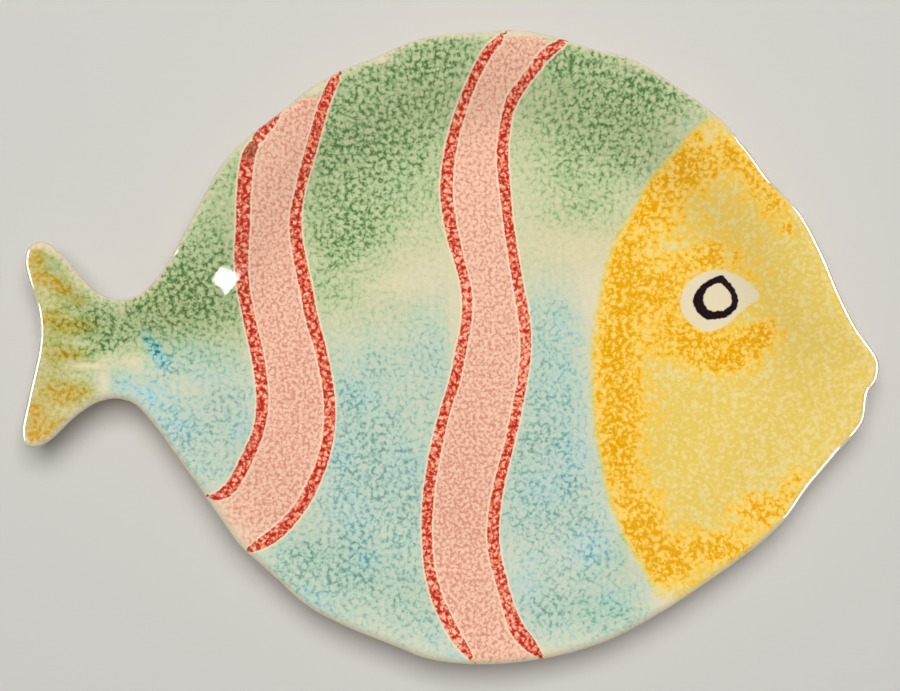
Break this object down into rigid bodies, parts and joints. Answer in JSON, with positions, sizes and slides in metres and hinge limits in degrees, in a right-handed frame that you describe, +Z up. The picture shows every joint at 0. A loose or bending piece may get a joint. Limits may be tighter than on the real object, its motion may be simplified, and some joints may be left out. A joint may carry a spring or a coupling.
{
  "type": "salad plate",
  "caption": "Fish-shaped salad plate of glazed earthenware: a shallow dish with a scalloped fish outline and forked tail, on a low oval foot of bare clay.",
  "frame": {"origin": "on the table, under the middle of the outline's box", "axes": "+X from the tail to the mouth, +Y towards the fish's back, +Z up out of the dish"},
  "size_m": [0.25, 0.185, 0.023],
  "materials": {
    "glazed_earthenware": "clear gloss glaze over sponged green, blue-green and yellow colour with red-edged pink stripes, on a cream body",
    "bare_earthenware": "unglazed fired clay, matt and slightly gritty"
  },
  "bodies": {
    "root": {"plate_body": "glazed_earthenware", "foot_ring": "bare_earthenware"}
  },
  "joints": []
}
